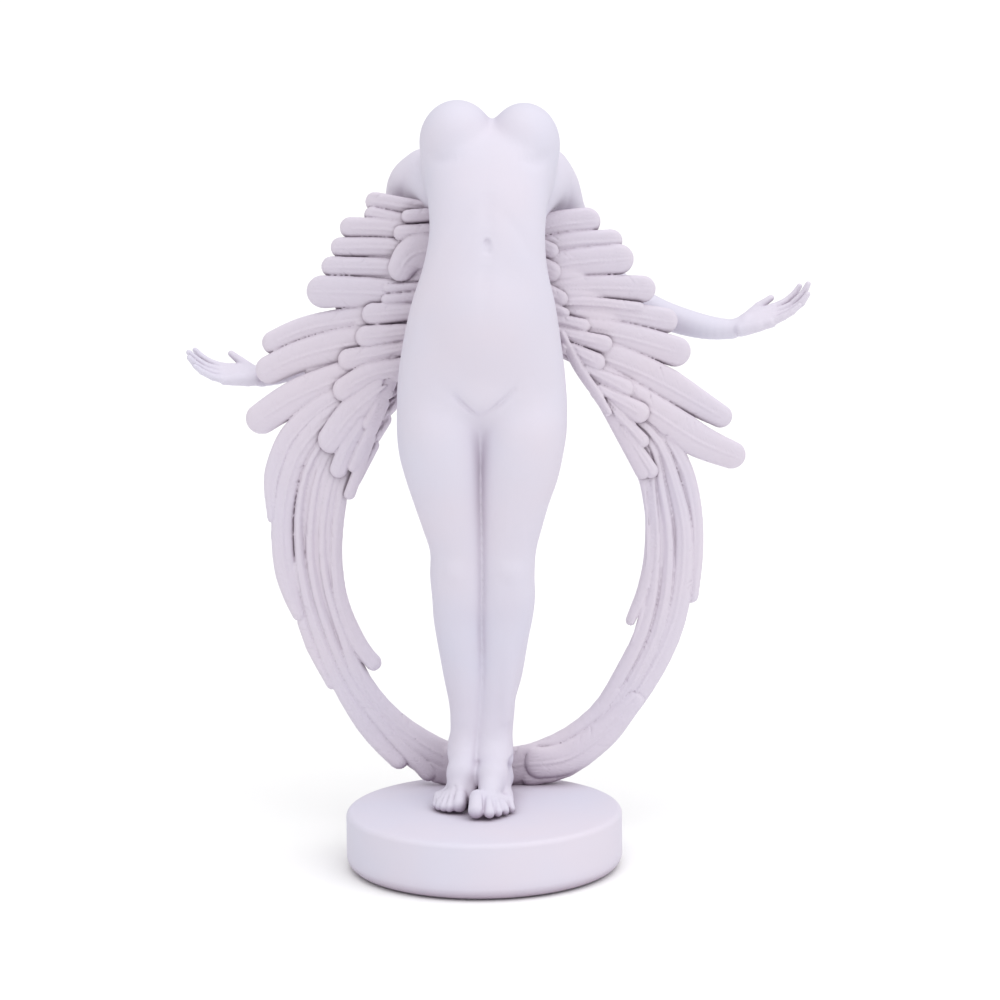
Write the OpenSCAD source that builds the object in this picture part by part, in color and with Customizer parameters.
// Resin angel figurine: a figure leaning back on a round base, inside a ring made by two long wings.
// Millimetres, +Z up, +X to the figure's own left. The origin is the centre of the underside.

/* [Base] */
// Diameter of the round base
base_d = 100; // [96:1:120]
// Height of the base's top above the table
base_h = 21; // [21:1:30]
// Radius of the rounding round the top edge
top_round = 2; // [0.5:0.5:4]
// Radius of the rounding round the bottom edge
bottom_round = 4.5; // [1:0.5:6]

/* [Felt pad] */
// Diameter of the felt pad
felt_d = 86; // [60:1:88]
// Thickness of the felt pad
felt_t = 1.2; // [0.8:0.1:2]
// How far the felt stands below the base
felt_proud = 0.4; // [0.2:0.1:0.6]

/* [Wings] */
// Thickness of a wing at the middle of its width
wing_t = 6.5; // [5:0.5:7]
// Depth of the steps between feathers, as a share of the thickness
feather_relief = 0.3; // [0:0.05:0.4]
// How far a covert feather's tip stands out past the gap beside it
tip_depth = 7; // [2:1:9]

/* [Rods and pins] */
// Diameter of the steel rod inside each leg
rod_d = 3; // [2:0.5:4]
// Height above the table that the leg rods reach
rod_top = 92; // [60:1:95]
// Diameter of the shoulder and neck pins
pin_d = 3; // [2:0.5:4]
// Diameter of the pins under the wings
foot_pin_d = 2.5; // [2:0.5:3]

/* [Hidden] */

resin = "ghostwhite";
mid_x = 3;          // the figure stands a little to its own left of the base's centre
body_sides = 28;    // points round the body, head and wings
limb_sides = 16;    // points round an arm
smoothing = 2;      // rings for each row of a table
far = 200;          // larger than the whole figurine

// The body from the soles to the neck. Each row is the middle x, y, z of a slice, its half width, its
// reach to the front and back, the depth of the crease between the legs, and its backward tilt.
body_rows = [
    [-3.2,  6, base_h, 13, 21, 20, 0, 0],
    [-3.2,  6,  25, 15,   23, 22,   0.5, 0],
    [-3,    6,  31, 14.5, 19, 21,   0.7, 0],
    [-2,    9,  38, 12.2, 11, 17,   0.9, 0],
    [-1,   14,  46, 11.6, 8.5, 9.5, 0.9, 0],
    [-0.5, 15,  56, 12,   8, 9,     0.9, 0],
    [0,    14,  73, 14.2, 9, 11,    0.9, 0],
    [0.3,  13,  88, 17.8, 9.5, 13,  0.9, 0],
    [0.4,  10, 104, 18.9, 11, 10.5, 0.85, 0],
    [0.4,   8, 116, 19.4, 11.5, 10, 0.85, 0],
    [0.4,   6, 130, 23.5, 14, 13.5, 0.8, 0],
    [0.6,   4, 146, 28,   16, 18,   0.7, 0],
    [0.9,   4, 162, 30.3, 18, 22,   0.5, 0],
    [1,     4, 176, 30.2, 18.5, 21, 0.1, 0],
    [1.4,   2, 192, 28,   18.5, 17, 0, 0],
    [2,     0, 207, 25.2, 16.5, 15, 0, 2],
    [2.8,   0, 219, 21.8, 14.5, 15, 0, 6],
    [3.8,   2, 230, 20.6, 13.5, 15.5, 0, 16],
    [4.2,   8, 241, 21.5, 16,   17, 0, 34],
    [4.6,  17, 250, 23.3, 19.5, 16, 0, 52],
    [4.8,  29, 255, 24,   17,   16, 0, 70],
    [4.5,  41, 254, 21.5, 12.5, 14, 0, 84],
    [4.3,  49, 251, 12,   8.5,   9, 0, 96],
    [4.3,  55, 249, 7,    6.5,   7, 0, 104]];

// The head from the neck to the crown, rows as for the body.
head_rows = [
    [4.3, 55, 249, 7,    6.5, 7,    0, 104],
    [4.3, 61, 247, 7.2,  8.5, 9,    0, 112],
    [4.3, 66, 244, 11,   14.5, 14,  0, 120],
    [4.3, 72, 240, 13.8, 17,  18,   0, 124],
    [4.3, 79, 235, 14.6, 17.5, 19,  0, 128],
    [4.3, 86, 229, 13.2, 15.5, 16,  0, 132],
    [4.3, 91, 224, 9,    9.5, 9.5,  0, 136],
    [4.3, 93, 222, 3,    3, 3,      0, 138]];

// The hair hanging from the back of the head, rows as for the body.
hair_rows = [
    [4.3, 79, 236, 10,   9, 8,   0, 172],
    [4.3, 80, 224, 13,   10, 9,  0, 176],
    [4.3, 81, 210, 12.5, 8.5, 8, 0, 180],
    [4.3, 81, 196, 10.5, 7, 7,   0, 180],
    [4.3, 81, 183, 7,    5, 5,   0, 180],
    [4.3, 82, 173, 2,    2, 2,   0, 180]];

// Each breast: its middle and its radius.
breasts = [[[-6.5, 19, 261], 14.5], [[17.5, 19, 260], 14]];

// The shoulder joint runs along X.
shoulder_y = 42;
shoulder_z = 247;
shoulder_r = 7.5;
left_shoulder_x = 28;
right_shoulder_x = -21;
ball_r = 7.8;       // the ball at the top of each arm, cut flat where it meets the figure
ball_out = 2;       // from the flat to the middle of the ball

// An arm from the shoulder to the knuckles. Each row is x, y, z, the radius up and down, and the
// radius front to back.
left_arm_rows = [
    [left_shoulder_x + ball_out, shoulder_y, shoulder_z, 7.4, 7.4],
    [32.5, 44, 239, 6.6, 7],
    [37, 49, 228, 6, 6.3],
    [44, 55, 216, 5.3, 5.6],
    [53, 59, 205, 5, 5.2],
    [66, 57, 196, 5.2, 5.2],
    [80, 53, 190, 4.7, 4.7],
    [92, 50, 188.5, 3.4, 4.2],
    [97, 49, 190, 3.2, 4.6],
    [103, 49, 194, 3.2, 5.5],
    [109, 49, 198, 2.4, 5.2]];
right_arm_rows = [
    [right_shoulder_x - ball_out, shoulder_y, shoulder_z, 7.4, 7.4],
    [-25.5, 44, 239, 6.6, 7],
    [-29, 50, 227, 6, 6.3],
    [-34, 57, 212, 5.3, 5.6],
    [-42, 60, 198, 5, 5.2],
    [-53, 57, 187, 5.2, 5.2],
    [-65, 52, 179, 4.7, 4.7],
    [-75, 50, 174.5, 3.6, 4.2],
    [-80, 49, 174, 3.3, 4.6],
    [-87, 49, 174, 3.2, 5.5],
    [-94, 49, 176, 2.4, 5.2]];

// Fingers from the knuckle to the tip, then the thumb, which is last.
left_fingers = [
    [[108, 45, 198], [119, 43, 205]], [[108, 47.5, 197.5], [121, 46.5, 204.5]],
    [[108, 50.5, 197.5], [120, 50.5, 202.5]], [[107, 53, 196.5], [117, 54.5, 200]],
    [[98, 46, 192], [105, 43, 198.5]]];
right_fingers = [
    [[-93, 45, 176], [-105, 43, 182.5]], [[-93, 47.5, 175.5], [-105, 46.5, 181]],
    [[-93, 50.5, 175.5], [-103, 50.5, 179]], [[-92, 53, 175], [-100, 54.5, 176.5]],
    [[-83, 46, 176], [-90, 43, 180.5]]];
knuckle_r = 1.6;
fingertip_r = 1.1;

// A wing turns about the ring's centre, from straight down behind the ankles, outwards and up to the
// shoulder blade. Each row is the angle from straight down, then the inner and outer radius.
ring_x = mid_x;
ring_z = 125;
left_wing_rows = [
    [0, 90, 108], [8, 89.5, 108], [16, 89, 108], [24, 86, 102], [32, 81, 96], [40, 75, 92],
    [46, 70, 89], [54, 65, 85], [64, 61, 82.5], [76, 58, 81], [86, 57, 80], [93, 57, 84],
    [100, 55, 92], [110, 54, 91], [120, 54, 89], [130, 51, 89], [140, 54, 95], [148, 60, 101],
    [156, 72, 107], [164, 84, 110], [172, 90, 108]];
right_wing_rows = [
    [0, 90, 108], [8, 89.5, 108], [16, 88.5, 106], [24, 85.5, 101], [32, 81.5, 96], [38, 73, 92.5],
    [46, 69, 88], [54, 65, 85.5], [64, 60.5, 83.5], [76, 57, 82], [86, 54, 81], [94, 50, 83],
    [102, 48, 87], [110, 47, 91], [120, 47, 94], [130, 48, 99], [140, 52, 100], [148, 60, 105],
    [156, 73, 112], [164, 84, 112], [172, 90, 108]];
foot_y = 33;           // middle of the wings behind the ankles
root_y = 24;           // middle of the wings at the shoulder blades
root_start = 130;      // angle where the wings start to turn forward to the root
wing_sweep = 0.09;     // how far the wings lie back for each millimetre outwards
wing_edge = 0.3;       // thickness at a wing's edge, as a share of wing_t
ribbons = 5;           // long feathers side by side in the lower half
first_tip = 94;        // angle where the separate feather tips start
tip_step = 9;          // angle between two feather tips
wing_step = 2;         // angle between two slices
last_slice = 172;

// The tab on each wing's root, and the socket for it in the figure's back.
tab_size = [9, 26, 16];
tab_y = 8;
tab_z = 213;
tab_out = 4;           // from the spine to the tab

leg_rod_y = 15;
left_rod_x = 5.5;
right_rod_x = -7.5;
rod_bottom = 5;
foot_pin_bottom = 12;
foot_pin_top = 33;
left_foot_pin_x = 18;
right_foot_pin_x = -12;
foot_pin_y = foot_y + wing_sweep * (left_foot_pin_x - ring_x);   // in the middle of the wings
shoulder_pin_reach = 6;   // into the figure, and into the arm
neck_pin_reach = 7;       // into the figure, and into the head

// The value at s in a table of rows, on a smooth curve through them.
function row_at(table, i) = table[max(0, min(len(table) - 1, i))];
function blend_rows(a, b, c, d, t) =
    b + 0.5 * t * (c - a + t * (2 * a - 5 * b + 4 * c - d + t * (3 * (b - c) + d - a)));
function curve_at(table, s) =
    let (i = floor(s))
    blend_rows(row_at(table, i - 1), row_at(table, i), row_at(table, i + 1), row_at(table, i + 2), s - i);
function smooth_rows(table) =
    [for (k = [0 : (len(table) - 1) * smoothing]) curve_at(table, k / smoothing)];

// One slice of the body, with the crease between the legs at its front and back.
function body_ring(row) =
    [for (k = [0 : body_sides - 1])
        let (a = 360 * k / body_sides,
            crease = 1 - row[6] * exp(-pow(cos(a) / 0.28, 2)),
            depth = (sin(a) > 0 ? row[5] : row[4]) * sin(a) * crease)
        [row[0] + row[3] * cos(a), row[1] + depth * cos(row[7]), row[2] - depth * sin(row[7])]];

// One slice of an arm, square to the path from one row to the next.
function unit(v) = v / norm(v);
function place(row) = [row[0], row[1], row[2]];
function limb_ring(row, along) =
    let (up = unit(cross([0, 1, 0], along)), back = cross(along, up))
    [for (k = [0 : limb_sides - 1])
        let (a = 360 * k / limb_sides)
        place(row) + up * row[3] * cos(a) + back * row[4] * sin(a)];
function limb_rings(rows) =
    [for (i = [0 : len(rows) - 1])
        limb_ring(rows[i], unit(place(row_at(rows, i + 1)) - place(row_at(rows, i - 1))))];

// The row of a wing's table at one angle, then one slice of the wing on its left side.
function wing_row(table, angle) =
    let (i = max([for (k = [0 : len(table) - 2]) table[k][0] <= angle ? k : 0]),
        t = (angle - table[i][0]) / (table[i + 1][0] - table[i][0]))
    curve_at(table, i + t);
function tip_share(angle) = angle < first_tip ? 1 : ((angle - first_tip) % tip_step) / tip_step;
function tip_round(angle) = angle < first_tip ? 1 : sqrt(1 - pow(2 * tip_share(angle) - 1, 2));
function ribbon_height(across, angle) =
    angle < first_tip
        ? 1 - feather_relief * pow(abs(cos(180 * ribbons * across)), 3)
        : 1 - feather_relief * (1 - tip_round(angle));
function wing_y(angle) =
    let (t = max(0, (angle - root_start) / (last_slice - root_start)))
    foot_y + (root_y - foot_y) * t * t;
function wing_ring(table, angle) =
    let (row = wing_row(table, angle),
        outer = row[2] - tip_depth * (1 - tip_round(angle)),
        middle = (row[1] + outer) / 2,
        half = (outer - row[1]) / 2)
    [for (k = [0 : body_sides - 1])
        let (a = 360 * k / body_sides,
            r = middle + half * cos(a),
            thick = wing_t / 2 * (wing_edge + (1 - wing_edge) * abs(sin(a)))
                * ribbon_height((1 + cos(a)) / 2, angle),
            x = r * sin(angle),
            y = wing_y(angle) + wing_sweep * x + thick * sin(a))
        [ring_x + x, y, max(base_h, ring_z - r * cos(angle))]];

// A closed solid through rings of the same number of points. The end faces start halfway round, at a
// point that is off the flat where a wing stands on the base.
module loft(rings) {
    n = len(rings[0]);
    last = (len(rings) - 1) * n;
    polyhedron(
        points = [for (ring = rings) each ring],
        faces = concat(
            [[for (k = [0 : n - 1]) (k + n / 2) % n], [for (k = [0 : n - 1]) last + (n + n / 2 - k) % n]],
            [for (j = [0 : n : last - n], k = [0 : n - 1])
                let (next = (k + 1) % n)
                each [[j + k, j + n + k, j + n + next], [j + k, j + n + next, j + next]]]));
}

// A cylinder from one point to another.
module rod(from, to, d) {
    v = to - from;
    translate(from)
        rotate([0, acos(v[2] / norm(v)), atan2(v[1], v[0])])
            cylinder(d = d, h = norm(v), $fn = 48);
}

module leg_rod(x) {
    rod([x, leg_rod_y, rod_bottom], [x, leg_rod_y, rod_top], rod_d);
}

module shoulder_pin(x) {
    joint = [x, shoulder_y, shoulder_z];
    reach = [shoulder_pin_reach, 0, 0];
    rod(joint - reach, joint + reach, pin_d);
}

module foot_pin(x) {
    rod([x, foot_pin_y, foot_pin_bottom], [x, foot_pin_y, foot_pin_top], foot_pin_d);
}

module neck_pin_shape() {
    neck = head_rows[0];
    along = [0, sin(neck[7]), cos(neck[7])];
    rod(place(neck) - along * neck_pin_reach, place(neck) + along * neck_pin_reach, pin_d);
}

// The tab on the root of the wing on one side, -1 for the right and 1 for the left.
module wing_tab(side) {
    translate([ring_x + side * (tab_out + tab_size[0] / 2), tab_y + tab_size[1] / 2, tab_z + tab_size[2] / 2])
        cube(tab_size, center = true);
}

module base() {
    r = base_d / 2;
    color(resin)
        difference() {
            rotate_extrude($fn = 120)
                union() {
                    translate([0, felt_proud])
                        square([r - bottom_round, base_h - felt_proud]);
                    translate([0, felt_proud + bottom_round])
                        square([r, base_h - felt_proud - bottom_round - top_round]);
                    translate([0, base_h - top_round])
                        square([r - top_round, top_round]);
                    translate([r - bottom_round, felt_proud + bottom_round])
                        circle(r = bottom_round, $fn = 48);
                    translate([r - top_round, base_h - top_round])
                        circle(r = top_round, $fn = 32);
                }
            cylinder(d = felt_d, h = felt_t, $fn = 96);
            leg_rod(left_rod_x);
            leg_rod(right_rod_x);
            foot_pin(left_foot_pin_x);
            foot_pin(right_foot_pin_x);
        }
}

module felt_pad() {
    color("dimgray")
        cylinder(d = felt_d, h = felt_t, $fn = 96);
}

module figure() {
    color(resin)
        difference() {
            union() {
                loft([for (row = smooth_rows(body_rows)) body_ring(row)]);
                for (breast = breasts)
                    translate(breast[0])
                        sphere(r = breast[1], $fn = 48);
                rod([right_shoulder_x, shoulder_y, shoulder_z], [left_shoulder_x, shoulder_y, shoulder_z],
                    2 * shoulder_r);
            }
            leg_rod(left_rod_x);
            leg_rod(right_rod_x);
            shoulder_pin(left_shoulder_x);
            shoulder_pin(right_shoulder_x);
            neck_pin_shape();
            wing_tab(-1);
            wing_tab(1);
        }
}

module head() {
    color(resin)
        difference() {
            union() {
                loft([for (row = smooth_rows(head_rows)) body_ring(row)]);
                loft([for (row = smooth_rows(hair_rows)) body_ring(row)]);
            }
            neck_pin_shape();
        }
}

module finger(ends) {
    hull() {
        translate(ends[0])
            sphere(r = knuckle_r, $fn = 12);
        translate(ends[1])
            sphere(r = fingertip_r, $fn = 12);
    }
}

module arm(rows, fingers, shoulder_x) {
    side = shoulder_x > ring_x ? 1 : -1;
    color(resin)
        difference() {
            union() {
                loft(limb_rings(smooth_rows(rows)));
                translate(place(rows[0]))
                    sphere(r = ball_r, $fn = 48);
                for (ends = fingers)
                    finger(ends);
            }
            shoulder_pin(shoulder_x);
            translate([shoulder_x - side * far / 2, 0, shoulder_z])
                cube(far, center = true);
        }
}

module wing(rows, foot_pin_x) {
    side = foot_pin_x > ring_x ? 1 : -1;
    color(resin)
        difference() {
            union() {
                translate([ring_x, 0, 0])
                    mirror([side < 0 ? 1 : 0, 0, 0])
                        translate([-ring_x, 0, 0])
                            loft([for (angle = [0 : wing_step : last_slice]) wing_ring(rows, angle)]);
                wing_tab(side);
            }
            foot_pin(foot_pin_x);
        }
}

module left_arm() {
    arm(left_arm_rows, left_fingers, left_shoulder_x);
}

module right_arm() {
    arm(right_arm_rows, right_fingers, right_shoulder_x);
}

module left_wing() {
    wing(left_wing_rows, left_foot_pin_x);
}

module right_wing() {
    wing(right_wing_rows, right_foot_pin_x);
}

module left_leg_rod() {
    color("silver") leg_rod(left_rod_x);
}

module right_leg_rod() {
    color("silver") leg_rod(right_rod_x);
}

module left_shoulder_pin() {
    color("silver") shoulder_pin(left_shoulder_x);
}

module right_shoulder_pin() {
    color("silver") shoulder_pin(right_shoulder_x);
}

module neck_pin() {
    color("silver") neck_pin_shape();
}

module left_wing_foot_pin() {
    color("silver") foot_pin(left_foot_pin_x);
}

module right_wing_foot_pin() {
    color("silver") foot_pin(right_foot_pin_x);
}

base();
felt_pad();
figure();
head();
left_arm();
right_arm();
left_wing();
right_wing();
left_leg_rod();
right_leg_rod();
left_shoulder_pin();
right_shoulder_pin();
neck_pin();
left_wing_foot_pin();
right_wing_foot_pin();
